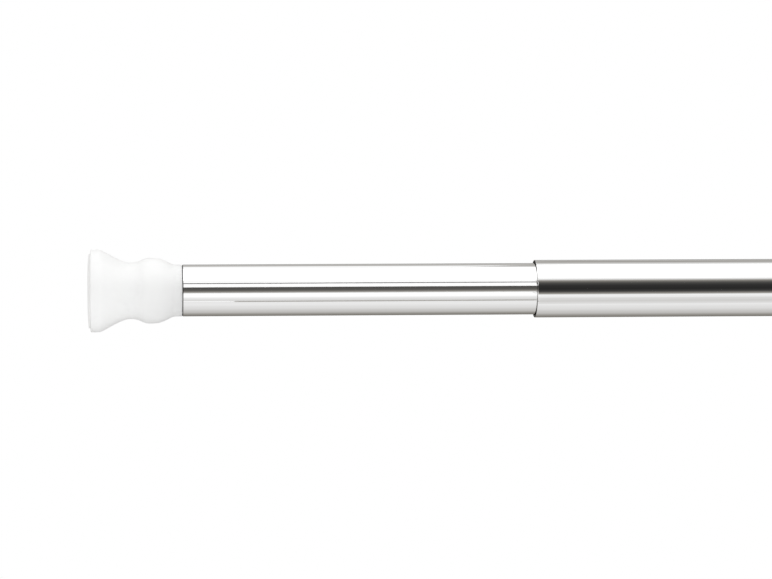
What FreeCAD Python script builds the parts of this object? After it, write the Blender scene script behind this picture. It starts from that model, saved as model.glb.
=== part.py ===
import FreeCAD
import Part
import math
import os

from FreeCAD import Vector

# Spring tension rod. Two chromed steel tubes slide in each other, with a bell-shaped foot and a soft pad
# on each end. A twist lock on the end of the inner tube grips the outer tube, and a compression spring
# behind the lock pushes the inner tube out again, so that the pads press on two facing walls.
# Millimetres. The rod lies along X, with the left foot at -X. The origin is in the middle of the right
# pad's face.

# Tubes
inner_tube_diameter = 25.0
inner_tube_wall = 0.5
inner_tube_length = 266.0
outer_tube_wall = 0.5
outer_tube_length = 333.0
tube_gap = 1.0                   # radial space between the two tubes
exposed_length = 171.0           # inner tube between the left foot and the outer tube's mouth
tube_edge_round = 0.12
bead_radius = 0.8                # rolled grooves that hold the plugs inside the inner tube

# Feet and their pads
flange_diameter = 39.8
flange_width = 3.8               # straight rim of the flange
flange_edge_round = 0.5
waist_rise = 1.1                 # how much the waist and the bulge stand out from the collar
bulge_rise = 3.35
flange_to_waist = 15.35
waist_to_bulge = 10.05
bulge_to_collar = 11.8
collar_width = 3.0
collar_edge_round = 0.3
face_thickness = 8.0             # solid plastic between the pad and the plug's stem
pad_diameter = 36.0
pad_stand = 1.3                  # how far the pad stands out of the flange
pad_flat_diameter = 18.0
pad_dome = 0.4
pad_edge_round = 0.25
pad_boss_diameter = 30.0
pad_boss_depth = 1.2
pad_boss_clearance = 0.1

# Plugs that join the feet to the tubes
plug_rim_width = 0.4             # thin rim that shows between the foot and the tube
plug_rim_inset = 0.2             # how far the rim stays below the tube's surface
plug_length = 20.0               # barrel inside the tube
plug_wall = 2.4
plug_clearance = 0.25
rib_clearance = 0.02
rib_width = 2.4
rib_spacing = 5.0
stem_step = 3.0                  # how much thinner the stem in the foot is than the tube's bore
stem_clearance = 0.02
stem_tip_gap = 0.5

# Guide bush in the end of the inner tube, and bush in the mouth of the outer tube
bush_clearance = 0.1
bush_depth = 16.0
bush_flange_width = 4.0
sliding_clearance = 0.3
mouth_bush_length = 30.0
mouth_bush_inset = 2.5
mouth_bush_fit = 0.02
bush_chamfer = 0.8

# Spring, its seat and its piston
wire_diameter = 2.0
spring_side_clearance = 2.0
spring_length = 64.0
spring_coils = 11.0
spigot_clearance = 0.6
spigot_length = 6.0
seat_length = 10.0
seat_bore_diameter = 6.0
piston_thickness = 5.0

# Twist lock
spring_stroke = 20.0
stroke_clearance = 2.0
hex_across_flats = 10.0
hex_clearance = 0.15
rod_spigot_diameter = 7.0
rod_end_chamfer = 0.6
clip_thickness = 0.8
clip_rim = 2.2
clip_opening = 4.6
clip_groove_depth = 0.7
clip_play = 0.05
clip_lip = 1.2                   # rod left outside the clip
shank_diameter = 8.0
shank_clearance = 0.08
washer_diameter = 16.0
washer_thickness = 1.2
expander_base = 5.0
expander_base_wall = 5.2
expander_mouth_wall = 2.2
slit_width = 2.0
slit_overrun = 1.0               # how far the slits run past the wedge's tip
wedge_gap = 0.2
wedge_depth = 16.0               # how far the wedge cone reaches into the expander
wedge_head = 1.5                 # how far it stands out of it
wedge_room = 5.0                 # space left between its tip and the expander's base
key_clearance = 0.25
key_reach = 1.6
key_setback = 1.5
release_travel = 3.0             # the wedge's way out in one turn of the lock
release_clearance = 0.5
nut_across_flats = 13.0
nut_thickness = 6.5
nut_fit = 0.03
rod_end_lip = 1.5

# Radii that the pieces share
inner_outside = inner_tube_diameter / 2
inner_inside = inner_outside - inner_tube_wall
outer_inside = inner_outside + tube_gap
outer_outside = outer_inside + outer_tube_wall
sliding_radius = outer_inside - sliding_clearance
shank_radius = shank_diameter / 2
washer_bore = shank_radius + shank_clearance
spring_outside = inner_inside - spring_side_clearance
spigot_radius = spring_outside - wire_diameter - spigot_clearance
bead_bulge = bead_radius + inner_tube_wall

# Stations of one foot, from the pad's face towards the tube
flange_end = pad_stand + flange_width
waist_at = flange_end + flange_to_waist
bulge_at = waist_at + waist_to_bulge
collar_at = bulge_at + bulge_to_collar
foot_end = collar_at + collar_width
foot_reach = foot_end + plug_rim_width
bore_floor = pad_stand + pad_boss_depth + face_thickness

# Stations along the rod, from right to left and then into the tubes
outer_end = -foot_reach
mouth = outer_end - outer_tube_length
inner_start = mouth - exposed_length
left_face = inner_start - foot_reach
inner_end = inner_start + inner_tube_length
bush_start = inner_end - bush_depth
bush_bead = inner_end - bush_depth / 2
piston_start = bush_start - piston_thickness
seat_face = piston_start - spring_length
seat_bead = seat_face - seat_length / 2
hex_end = inner_end + bush_flange_width + spring_stroke + stroke_clearance
expander_start = hex_end + washer_thickness
cavity_start = expander_start + expander_base
wedge_start = cavity_start + wedge_room
expander_end = wedge_start + wedge_depth
wedge_end = expander_end + wedge_head
stop_washer_start = wedge_end + release_travel + release_clearance
nut_start = stop_washer_start + washer_thickness
rod_end = nut_start + nut_thickness + rod_end_lip

AXIS = Vector(1, 0, 0)
ORIGIN = Vector(0, 0, 0)


class Outline:
    """A closed outline of (along, radius) points, spun about the rod's axis into a solid."""

    def __init__(self, along, radius):
        self.first = Vector(along, 0, radius)
        self.here = self.first
        self.edges = []

    def line(self, along, radius):
        end = Vector(along, 0, radius)
        self.edges.append(Part.LineSegment(self.here, end).toShape())
        self.here = end
        return self

    def corner(self, corner_along, corner_radius, along, radius):
        """A quarter arc from here to (along, radius), tangent to the two lines that meet at the corner."""
        end = Vector(along, 0, radius)
        middle = self.here + end - Vector(corner_along, 0, corner_radius)
        outward = (Vector(corner_along, 0, corner_radius) - middle).normalize()
        through = middle + outward * (end - middle).Length
        self.edges.append(Part.Arc(self.here, through, end).toShape())
        self.here = end
        return self

    def sway(self, along, radius, leave, arrive):
        """A smooth step to another radius, level at both ends.

        leave and arrive are the lengths of its two handles, as shares of its run.
        """
        run = along - self.here.x
        end = Vector(along, 0, radius)
        curve = Part.BezierCurve()
        handle_out = self.here + AXIS * (run * leave)
        handle_in = end - AXIS * (run * arrive)
        curve.setPoles([self.here, handle_out, handle_in, end])
        self.edges.append(curve.toShape())
        self.here = end
        return self

    def spin(self):
        if (self.here - self.first).Length > 1e-6:
            self.line(self.first.x, self.first.z)
        face = Part.Face(Part.Wire(self.edges))
        solid = face.revolve(ORIGIN, AXIS, 360)
        return solid if solid.Volume > 0 else solid.reversed()


def cylinder(start, end, radius):
    return Part.makeCylinder(radius, end - start, AXIS * start, AXIS)


def ring(start, end, bore, radius):
    return cylinder(start, end, radius).cut(cylinder(start, end, bore))


def hex_bar(start, end, across_flats):
    corner_radius = across_flats / math.sqrt(3)
    corners = []
    for k in range(7):
        angle = math.radians(60 * k)
        corners.append(Vector(start, corner_radius * math.cos(angle), corner_radius * math.sin(angle)))
    return Part.Face(Part.makePolygon(corners)).extrude(AXIS * (end - start))


def cross_bars(start, end, width, reach):
    """Two flat bars through the axis at right angles, each of that width, out to the radius reach."""
    upright = Part.makeBox(end - start, width, 2 * reach, Vector(start, -width / 2, -reach))
    level = Part.makeBox(end - start, 2 * reach, width, Vector(start, -reach, -width / 2))
    return upright.fuse(level).removeSplitter()


def turned_round(shape):
    """The same piece for the rod's right end, half a turn about Z."""
    return shape.rotated(ORIGIN, Vector(0, 0, 1), 180)


def tube(start, end, inside, outside, edge_round):
    """A plain tube whose four edges are rounded."""
    r = min(edge_round, 0.45 * (outside - inside))
    outline = Outline(start + r, inside)
    outline.corner(start, inside, start, inside + r).line(start, outside - r)
    outline.corner(start, outside, start + r, outside).line(end - r, outside)
    outline.corner(end, outside, end, outside - r).line(end, inside + r)
    outline.corner(end, inside, end - r, inside)
    return outline.spin()


def bead(at, radius):
    """The ring that a rolled groove takes up, centred on the inner tube's surface."""
    return Part.makeTorus(inner_outside, radius, AXIS * at, AXIS)


def make_inner_tube():
    solid = tube(inner_start, inner_end, inner_inside, inner_outside, tube_edge_round)
    envelope = cylinder(inner_start, inner_end, inner_outside)
    for at in (seat_bead, bush_bead):
        solid = solid.fuse(bead(at, bead_bulge).common(envelope))
        solid = solid.cut(bead(at, bead_radius))
    return solid


def make_outer_tube():
    return tube(mouth, outer_end, outer_inside, outer_outside, tube_edge_round)


def make_foot(tube_outside, tube_inside):
    """A moulded foot with its face towards -X: flange, waist, bulge, collar, and a bore for its plug."""
    flange_radius = flange_diameter / 2
    bore = tube_inside - stem_step
    boss_floor = pad_stand + pad_boss_depth
    round_off = flange_edge_round
    outline = Outline(boss_floor, 0)
    outline.line(boss_floor, pad_boss_diameter / 2).line(pad_stand, pad_boss_diameter / 2)
    outline.line(pad_stand, flange_radius - round_off)
    outline.corner(pad_stand, flange_radius, pad_stand + round_off, flange_radius)
    outline.line(flange_end, flange_radius)
    outline.sway(waist_at, tube_outside + waist_rise, leave=0.16, arrive=0.34)
    outline.sway(bulge_at, tube_outside + bulge_rise, leave=0.54, arrive=0.52)
    outline.sway(collar_at, tube_outside, leave=0.58, arrive=0.26)
    outline.line(foot_end - collar_edge_round, tube_outside)
    outline.corner(foot_end, tube_outside, foot_end, tube_outside - collar_edge_round)
    outline.line(foot_end, bore).line(bore_floor, bore).line(bore_floor, 0)
    return outline.spin()


def make_end_plug(tube_outside, tube_inside):
    """The plug of the foot at -X: a stem in the foot, a thin rim at the tube's end, and a ribbed barrel."""
    stem = tube_inside - stem_step - stem_clearance
    stem_core = stem - plug_wall
    stem_start = bore_floor + stem_tip_gap
    rim = tube_outside - plug_rim_inset
    barrel = tube_inside - plug_clearance
    barrel_core = barrel - plug_wall
    barrel_floor = foot_reach + plug_wall
    rib = tube_inside - rib_clearance
    plug_end = foot_reach + plug_length
    outline = Outline(stem_start, stem_core)
    outline.line(stem_start, stem - bush_chamfer).line(stem_start + bush_chamfer, stem).line(foot_end, stem)
    outline.line(foot_end, rim).line(foot_reach, rim).line(foot_reach, barrel)
    rib_count = int((plug_length - bush_chamfer - rib_width) / rib_spacing + 0.5)
    for k in range(rib_count):
        rib_start = foot_reach + rib_spacing * (k + 0.5)
        outline.line(rib_start, barrel).line(rib_start, rib)
        outline.line(rib_start + rib_width / 3, rib).line(rib_start + rib_width, barrel)
    outline.line(plug_end - bush_chamfer, barrel).line(plug_end, barrel - bush_chamfer)
    outline.line(plug_end, barrel_core).line(barrel_floor, barrel_core).line(barrel_floor, stem_core)
    return outline.spin()


def make_pad():
    """A soft pad with its face towards -X: flat in the middle, domed to its rim, with a boss in the foot."""
    rim = pad_diameter / 2
    flat = pad_flat_diameter / 2
    boss_radius = pad_boss_diameter / 2 - pad_boss_clearance
    boss_end = pad_stand + pad_boss_depth
    shoulder = rim - pad_edge_round
    dome = Part.BezierCurve()
    handle = Vector(0, 0, (flat + shoulder) / 2)
    dome.setPoles([Vector(0, 0, flat), handle, Vector(pad_dome, 0, shoulder)])
    outline = Outline(0, 0)
    outline.line(0, flat)
    outline.edges.append(dome.toShape())
    outline.here = Vector(pad_dome, 0, shoulder)
    outline.corner(pad_dome, rim, pad_dome + pad_edge_round, rim).line(pad_stand, rim)
    outline.line(pad_stand, boss_radius).line(boss_end, boss_radius).line(boss_end, 0)
    return outline.spin()


def make_mouth_bush():
    start = mouth + mouth_bush_inset
    end = start + mouth_bush_length
    bore = inner_outside + sliding_clearance
    radius = outer_inside - mouth_bush_fit
    lead = 0.5 * (radius - bore)
    outline = Outline(start, bore + lead)
    outline.line(start, radius).line(end, radius).line(end, bore + lead)
    outline.line(end - 2 * lead, bore).line(start + 2 * lead, bore)
    return outline.spin()


def make_guide_bush():
    """Bush in the inner tube's end. Its flange slides in the outer tube, its hexagon keys the lock rod."""
    radius = inner_inside - bush_clearance
    flange_face = inner_end + bush_flange_width
    outline = Outline(bush_start, 0)
    outline.line(bush_start, radius - bush_chamfer).line(bush_start + bush_chamfer, radius)
    outline.line(inner_end, radius).line(inner_end, sliding_radius)
    outline.line(flange_face - bush_chamfer, sliding_radius)
    outline.line(flange_face, sliding_radius - bush_chamfer).line(flange_face, 0)
    solid = outline.spin().cut(bead(bush_bead, bead_bulge + bush_clearance))
    return solid.cut(hex_bar(bush_start, flange_face, hex_across_flats + 2 * hex_clearance))


def make_spring_seat():
    """Plug that the inner tube's second groove holds. The spring stands on its face, round its spigot."""
    start = seat_face - seat_length
    radius = inner_inside - bush_clearance
    outline = Outline(start, seat_bore_diameter / 2)
    outline.line(start, radius - bush_chamfer).line(start + bush_chamfer, radius)
    outline.line(seat_face, radius).line(seat_face, spigot_radius)
    outline.line(seat_face + spigot_length - bush_chamfer, spigot_radius)
    outline.line(seat_face + spigot_length, spigot_radius - bush_chamfer)
    outline.line(seat_face + spigot_length, seat_bore_diameter / 2)
    return outline.spin().cut(bead(seat_bead, bead_bulge + bush_clearance))


def make_tension_spring():
    """Compression spring between its seat and its piston. One turn more at each end is ground off flat."""
    middle_radius = spring_outside - wire_diameter / 2
    pitch = spring_length / spring_coils
    helix = Part.makeHelix(pitch, spring_length + 2 * pitch, middle_radius)
    tangent = Vector(0, 2 * math.pi * middle_radius, pitch)
    section = Part.Circle(Vector(middle_radius, 0, 0), tangent, wire_diameter / 2)
    coil = Part.Wire(helix.Edges).makePipeShell([Part.Wire(section.toShape())], True, True)
    coil.rotate(ORIGIN, Vector(0, 1, 0), 90)
    coil.translate(AXIS * (seat_face - pitch))
    ground = coil.common(cylinder(seat_face, piston_start, inner_inside))
    return ground.Solids[0]


def make_spring_piston():
    """Nylon disc on the lock rod. The spring pushes on it, and it stops at the guide bush."""
    tip = piston_start - spigot_length
    radius = inner_inside - sliding_clearance
    bore = rod_spigot_diameter / 2 + clip_play
    outline = Outline(tip, bore)
    outline.line(tip, spigot_radius - bush_chamfer).line(tip + bush_chamfer, spigot_radius)
    outline.line(piston_start, spigot_radius).line(piston_start, radius).line(bush_start, radius)
    outline.line(bush_start, bore)
    return outline.spin()


def make_piston_clip():
    """Open retaining ring in the groove of the rod's left end."""
    end = piston_start - spigot_length - clip_play
    start = end - clip_thickness
    bore = rod_spigot_diameter / 2 - clip_groove_depth + clip_play
    radius = rod_spigot_diameter / 2 + clip_rim
    opening = Part.makeBox(clip_thickness, clip_opening, radius, Vector(start, -clip_opening / 2, 0))
    return ring(start, end, bore, radius).cut(opening)


def make_lock_rod():
    """Hexagon steel rod: a spigot for the piston on the left, the lock's round shank on the right."""
    clip_end = piston_start - spigot_length
    clip_start = clip_end - clip_thickness - 2 * clip_play
    tip = clip_start - clip_lip
    spigot = rod_spigot_diameter / 2
    groove = spigot - clip_groove_depth
    ends = Outline(tip, 0)
    ends.line(tip, spigot - rod_end_chamfer).line(tip + rod_end_chamfer, spigot).line(clip_start, spigot)
    ends.line(clip_start, groove).line(clip_end, groove).line(clip_end, spigot).line(bush_start, spigot)
    ends.line(hex_end, spigot).line(hex_end, shank_radius)
    ends.line(rod_end - rod_end_chamfer, shank_radius).line(rod_end, shank_radius - rod_end_chamfer)
    ends.line(rod_end, 0)
    return ends.spin().fuse(hex_bar(bush_start, hex_end, hex_across_flats))


def make_thrust_washer():
    return ring(hex_end, expander_start, washer_bore, washer_diameter / 2)


def cavity_radius(along):
    """Radius of the expander's tapered cavity, which widens from its base to its mouth."""
    narrow = sliding_radius - expander_base_wall
    wide = sliding_radius - expander_mouth_wall
    share = (along - cavity_start) / (expander_end - cavity_start)
    return narrow + (wide - narrow) * share


def make_expander_sleeve():
    """Split nylon sleeve. The wedge cone spreads its four fingers against the outer tube."""
    outline = Outline(expander_start, washer_bore)
    outline.line(expander_start, sliding_radius - bush_chamfer)
    outline.line(expander_start + bush_chamfer, sliding_radius)
    outline.line(expander_end, sliding_radius).line(expander_end, cavity_radius(expander_end))
    outline.line(cavity_start, cavity_radius(cavity_start)).line(cavity_start, washer_bore)
    slits = cross_bars(wedge_start - slit_overrun, expander_end, slit_width, outer_inside)
    return outline.spin().cut(slits)


def make_wedge_cone():
    """Nylon cone that rides on the shank's thread, with four keys in the expander's slits."""
    key_radius = cavity_radius(expander_end) + key_reach
    outline = Outline(wedge_start, 0)
    outline.line(wedge_start, cavity_radius(wedge_start) - wedge_gap)
    outline.line(wedge_end, cavity_radius(wedge_end) - wedge_gap).line(wedge_end, 0)
    keys = cross_bars(wedge_start + key_setback, wedge_end, slit_width - 2 * key_clearance, key_radius)
    bore = cylinder(wedge_start, wedge_end, washer_bore)
    return outline.spin().fuse(keys).cut(bore)


def make_stop_washer():
    return ring(stop_washer_start, nut_start, washer_bore, washer_diameter / 2)


def make_stop_nut():
    """Hexagon nut with its corners turned off at 30 degrees."""
    end = nut_start + nut_thickness
    flat = nut_across_flats / 2
    corner_radius = nut_across_flats / math.sqrt(3)
    slope = (corner_radius - flat) * math.tan(math.radians(30))
    outline = Outline(nut_start, 0)
    outline.line(nut_start, flat).line(nut_start + slope, corner_radius)
    outline.line(end - slope, corner_radius).line(end, flat).line(end, 0)
    body = hex_bar(nut_start, end, nut_across_flats).common(outline.spin())
    return body.cut(cylinder(nut_start, end, shank_radius + nut_fit))


def make_pieces():
    left = AXIS * left_face
    return {
        "outer_tube": make_outer_tube(),
        "mouth_bush": make_mouth_bush(),
        "right_foot": turned_round(make_foot(outer_outside, outer_inside)),
        "right_foot_pad": turned_round(make_pad()),
        "right_end_plug": turned_round(make_end_plug(outer_outside, outer_inside)),
        "inner_tube": make_inner_tube(),
        "left_foot": make_foot(inner_outside, inner_inside).translated(left),
        "left_foot_pad": make_pad().translated(left),
        "left_end_plug": make_end_plug(inner_outside, inner_inside).translated(left),
        "spring_seat": make_spring_seat(),
        "tension_spring": make_tension_spring(),
        "guide_bush": make_guide_bush(),
        "lock_rod": make_lock_rod(),
        "spring_piston": make_spring_piston(),
        "piston_clip": make_piston_clip(),
        "thrust_washer": make_thrust_washer(),
        "expander_sleeve": make_expander_sleeve(),
        "wedge_cone": make_wedge_cone(),
        "stop_washer": make_stop_washer(),
        "stop_nut": make_stop_nut(),
    }


def main():
    os.makedirs("parts", exist_ok=True)
    for name, shape in make_pieces().items():
        shape.exportStep(f"parts/{name}.step")
        print(name, "solids", len(shape.Solids), "valid", shape.isValid(), "mm3", round(shape.Volume, 1))


main()
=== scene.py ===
"""Looks of a spring tension rod: chromed tubes, moulded feet, soft pads, the lock inside, and a studio."""

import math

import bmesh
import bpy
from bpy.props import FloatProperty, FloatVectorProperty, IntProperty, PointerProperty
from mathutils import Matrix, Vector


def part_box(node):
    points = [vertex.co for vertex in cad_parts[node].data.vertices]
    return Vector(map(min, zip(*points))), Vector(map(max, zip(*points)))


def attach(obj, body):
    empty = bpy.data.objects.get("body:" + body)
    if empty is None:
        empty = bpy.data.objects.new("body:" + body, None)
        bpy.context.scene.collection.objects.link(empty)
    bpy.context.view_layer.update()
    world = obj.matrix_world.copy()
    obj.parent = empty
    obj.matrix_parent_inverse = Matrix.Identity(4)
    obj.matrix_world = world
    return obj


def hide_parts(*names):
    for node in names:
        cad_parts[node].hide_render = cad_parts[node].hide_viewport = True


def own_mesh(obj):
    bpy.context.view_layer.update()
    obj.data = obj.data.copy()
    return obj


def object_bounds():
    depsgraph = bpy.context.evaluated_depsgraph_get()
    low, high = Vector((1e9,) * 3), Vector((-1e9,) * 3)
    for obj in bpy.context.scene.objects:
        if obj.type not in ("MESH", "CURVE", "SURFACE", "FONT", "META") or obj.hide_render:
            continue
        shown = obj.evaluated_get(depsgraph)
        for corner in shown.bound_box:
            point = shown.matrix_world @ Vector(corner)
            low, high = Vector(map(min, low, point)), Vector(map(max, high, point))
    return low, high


bl_info = {
    "name": "Spring Tension Rod",
    "version": (1, 0, 0),
    "blender": (4, 5, 0),
    "location": "3D View > Sidebar > Rod",
    "description": "Dresses the frame of a spring tension rod and sets it in a white studio",
    "category": "Object",
}

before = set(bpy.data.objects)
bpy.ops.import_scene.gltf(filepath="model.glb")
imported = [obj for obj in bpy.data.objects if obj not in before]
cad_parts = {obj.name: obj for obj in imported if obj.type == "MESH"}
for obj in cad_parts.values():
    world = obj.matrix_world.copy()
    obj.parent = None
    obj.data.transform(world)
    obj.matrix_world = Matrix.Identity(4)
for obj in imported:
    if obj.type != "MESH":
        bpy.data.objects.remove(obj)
CAD_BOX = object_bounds()

# The frame's own stations along X and radii, in metres
INNER_LOW, INNER_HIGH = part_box("inner_tube")
OUTER_LOW, OUTER_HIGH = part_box("outer_tube")
LEFT_FOOT_LOW, LEFT_FOOT_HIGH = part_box("left_foot")
LEFT_PAD_LOW, LEFT_PAD_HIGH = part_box("left_foot_pad")
RIGHT_PAD_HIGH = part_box("right_foot_pad")[1]
PLUG_LOW, PLUG_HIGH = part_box("left_end_plug")
BUSH_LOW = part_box("guide_bush")[0]
SEAT_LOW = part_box("spring_seat")[0]
SPRING_LOW, SPRING_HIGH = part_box("tension_spring")
ROD_LOW, ROD_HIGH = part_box("lock_rod")
WASHER_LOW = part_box("thrust_washer")[0]

FULL_TURN = 2 * math.pi


def whole(name, description, default, least):
    """A property that holds a whole number."""
    return IntProperty(name=name, description=description, default=default, min=least)


def amount(name, description, default):
    """A property that holds a plain number, such as a lamp's radiance."""
    return FloatProperty(name=name, description=description, default=default, min=0)


def length(name, description, default):
    """A property that holds a length in metres."""
    return FloatProperty(name=name, description=description, default=default, unit="LENGTH", precision=5)


def share(name, description, default):
    """A property that holds a share from 0 to 1."""
    return FloatProperty(name=name, description=description, default=default, min=0, max=1, subtype="FACTOR")


def colour(name, description, default):
    """A property that holds a linear colour."""
    return FloatVectorProperty(name=name, description=description, default=default, size=3, min=0, max=1,
                               subtype="COLOR")


def angle(name, description, degrees):
    """A property that holds an angle, kept in radians."""
    return FloatProperty(name=name, description=description, default=math.radians(degrees), subtype="ANGLE")


class RodTubeSettings(bpy.types.PropertyGroup):
    """The two chromed tubes."""

    segments: whole("Segments", "Faces round a tube", 256, least=24)
    inner_radius: length("Inner tube", "Outside radius of the inner tube", INNER_HIGH.z)
    outer_radius: length("Outer tube", "Outside radius of the outer tube", OUTER_HIGH.z)
    wall: length("Wall", "Wall of both tubes", 0.0005)
    edge_round: length("Edge round", "Round on the cut edges", 0.00012)
    bead_radius: length("Bead", "Radius of the rolled grooves in the inner tube", 0.0008)
    chrome: colour("Chrome", "Colour of the chrome plate", (0.95, 0.95, 0.95))
    cut_edge: colour("Cut edge", "Colour of the cut ends", (0.3, 0.285, 0.265))
    smoothest: share("Smoothest", "Roughness of the clear plate", 0.03)
    roughest: share("Roughest", "Roughness of its hazy specks", 0.08)
    grain_depth: length("Grain depth", "Height of the polishing grain", 0.000002)


class RodFootSettings(bpy.types.PropertyGroup):
    """The two moulded feet, their pads and their plugs."""

    segments: whole("Segments", "Faces round a foot, a pad or a plug", 192, least=24)
    flange_radius: length("Flange", "Radius of the flange", LEFT_FOOT_HIGH.z)
    flange_width: length("Flange width", "Straight rim of the flange", 0.0038)
    flange_round: length("Flange round", "Round on the flange's front edge", 0.0005)
    waist_rise: length("Waist", "How far the waist stands out from the collar", 0.0011)
    bulge_rise: length("Bulge", "How far the bulge stands out from the collar", 0.00335)
    flange_to_waist: length("Flange to waist", "Run from the flange to the waist", 0.01535)
    waist_to_bulge: length("Waist to bulge", "Run from the waist to the bulge", 0.01005)
    bulge_to_collar: length("Bulge to collar", "Run from the bulge to the collar", 0.0118)
    collar_round: length("Collar round", "Round on the collar's edge at the tube", 0.0003)
    face_thickness: length("Face", "Solid plastic between the pad and the plug", 0.008)
    stem_step: length("Stem step", "How much thinner the plug's stem is than the tube's bore", 0.003)
    plug_wall: length("Plug wall", "Wall of the plug", 0.0024)
    plug_clearance: length("Plug clearance", "Space between the plug's barrel and the tube", 0.00025)
    plug_chamfer: length("Plug chamfer", "Chamfer on the plug's ends", 0.0008)
    rib_width: length("Rib width", "Width of the plug's ribs", 0.0024)
    rib_spacing: length("Rib spacing", "From one rib to the next", 0.005)
    rim_inset: length("Rim inset", "How far the plug's rim stays below the tube's surface", 0.0002)
    pad_boss_radius: length("Pad boss", "Radius of the pad's boss in the foot", 0.015)
    pad_flat_radius: length("Pad flat", "Radius of the pad's flat middle", 0.009)
    pad_dome: length("Pad dome", "How far the pad's face falls back to its rim", 0.0004)
    pad_round: length("Pad round", "Round on the pad's rim", 0.00025)
    plastic: colour("Plastic", "Colour of the moulded feet", (0.87, 0.872, 0.868))
    pad: colour("Pad", "Colour of the soft pads", (0.85, 0.848, 0.84))


class RodLockSettings(bpy.types.PropertyGroup):
    """The spring and the twist lock inside the tubes."""

    wire_radius: length("Wire", "Radius of the spring's wire", 0.001)
    coils: FloatProperty(name="Coils", description="Turns of the spring", default=11.0, min=1)
    wire_sides: whole("Wire sides", "Faces round the spring's wire", 14, least=6)
    turn_steps: whole("Turn steps", "Sections in one turn of the spring", 48, least=12)
    stroke_left: share("Spring at full stroke", "Share of its length that the pressed spring keeps", 0.6875)
    rod_segments: whole("Rod segments", "Faces round the lock rod", 72, least=24)
    hexagon: length("Hexagon", "Width across flats of the lock rod", 0.010)
    spigot_radius: length("Spigot", "Radius of the rod's left end", 0.0035)
    groove_depth: length("Clip groove", "Depth of the clip's groove", 0.0007)
    groove_width: length("Clip groove width", "Width of the clip's groove", 0.0009)
    rod_lip: length("Rod lip", "Rod left outside the clip's groove", 0.0012)
    rod_chamfer: length("Rod chamfer", "Chamfer on the rod's ends", 0.0006)
    shank_radius: length("Shank", "Radius over the thread's crests", 0.004)
    thread_depth: length("Thread depth", "Depth of the thread", 0.0006)
    thread_lead: length("Thread lead", "Travel of the wedge cone in one turn", 0.003)
    thread_starts: whole("Thread starts", "Starts of the thread", 2, least=1)
    zinc: colour("Zinc", "Colour of the zinc plate", (0.62, 0.64, 0.66))
    spring_steel: colour("Spring steel", "Colour of the spring", (0.2, 0.2, 0.21))
    natural_nylon: colour("Natural nylon", "Colour of the pale bushes", (0.72, 0.68, 0.58))
    # On the plugs this black is painted shade: their rims draw the dark gap between each collar and its tube
    black_nylon: colour("Black nylon", "Colour of the dark bushes and plugs", (0.022, 0.021, 0.02))


class RodStageSettings(bpy.types.PropertyGroup):
    """Camera, floor and light."""

    distance: length("Distance", "From the camera to the rod, square to it", 1.5)
    elevation: angle("Elevation", "Height of the camera above the rod", 3.56)
    swing: angle("Swing", "Turn of the camera to the right of square", 4.659)
    stand: length("Stand", "How far left of the tube's left end the camera stands", 0.0238)
    focal_length: FloatProperty(name="Focal length", description="Lens on a 36 mm wide sensor", default=144.8,
                                min=1, unit="CAMERA")
    floor_drop: length("Floor drop", "Floor below the rod's axis", 0.2)
    floor: colour("Floor", "Colour of the floor where the camera sees it", (0.95, 0.95, 0.95))
    floor_bounce: colour("Floor bounce", "Colour of the floor in the light that it sends up", (0.7, 0.7, 0.7))
    ambient: amount("Ambient", "Level of the white room's light", 0.82)
    softbox_level: amount("Softbox", "Radiance of the overhead softbox", 0.7)
    fill_level: amount("Fill", "Radiance of the small lamp at the left foot", 0.45)
    fill_spread: angle("Fill spread", "Cone that the small lamp's grid leaves open", 26)


SETTINGS = {
    "rod_tubes": RodTubeSettings,
    "rod_feet": RodFootSettings,
    "rod_lock": RodLockSettings,
    "rod_stage": RodStageSettings,
}


# Outlines and meshes

class Outline:
    """Points of a turned piece's outline, as (along the axis, radius) in metres."""

    def __init__(self, along, radius):
        self.points = [(along, radius)]

    def line(self, along, radius):
        """A straight line to (along, radius)."""
        self.points.append((along, radius))
        return self

    def corner(self, corner_along, corner_radius, along, radius, steps=6):
        """A quarter arc to (along, radius), tangent to the two lines that meet at the corner."""
        first_along, first_radius = self.points[-1]
        back_along, back_radius = first_along - corner_along, first_radius - corner_radius
        on_along, on_radius = along - corner_along, radius - corner_radius
        for k in range(1, steps + 1):
            turn = math.pi / 2 * k / steps
            leave = 1 - math.sin(turn)
            arrive = 1 - math.cos(turn)
            self.line(corner_along + back_along * leave + on_along * arrive,
                      corner_radius + back_radius * leave + on_radius * arrive)
        return self

    def bezier(self, handle_out, handle_in, end, steps=28):
        """A cubic curve from the last point to end."""
        start = Vector(self.points[-1])
        handle_out, handle_in, end = Vector(handle_out), Vector(handle_in), Vector(end)
        for k in range(1, steps + 1):
            t = k / steps
            s = 1 - t
            point = start * s ** 3 + handle_out * (3 * s * s * t) + handle_in * (3 * s * t * t) + end * t ** 3
            self.line(*point)
        return self

    def sway(self, along, radius, leave, arrive):
        """A smooth step to another radius, level at both ends, with handles that are shares of its run."""
        first_along, first_radius = self.points[-1]
        run = along - first_along
        handle_out = (first_along + run * leave, first_radius)
        handle_in = (along - run * arrive, radius)
        return self.bezier(handle_out, handle_in, (along, radius))

    def dip(self, at, centre_radius, size, half_width, steps=12):
        """An arc inwards of that size about (at, centre_radius), from one side of at to the other."""
        first_along = self.points[-1][0]
        way = 1 if first_along < at else -1
        lean = math.acos(half_width / size)
        for k in range(steps + 1):
            turn = math.pi - lean - (math.pi - 2 * lean) * k / steps
            self.line(at + way * size * math.cos(turn), centre_radius - size * math.sin(turn))
        return self

    def placed(self, face, way):
        """The points with the along values counted from face, towards +X where way is 1."""
        return [(face + way * along, radius) for along, radius in self.points]


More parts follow.
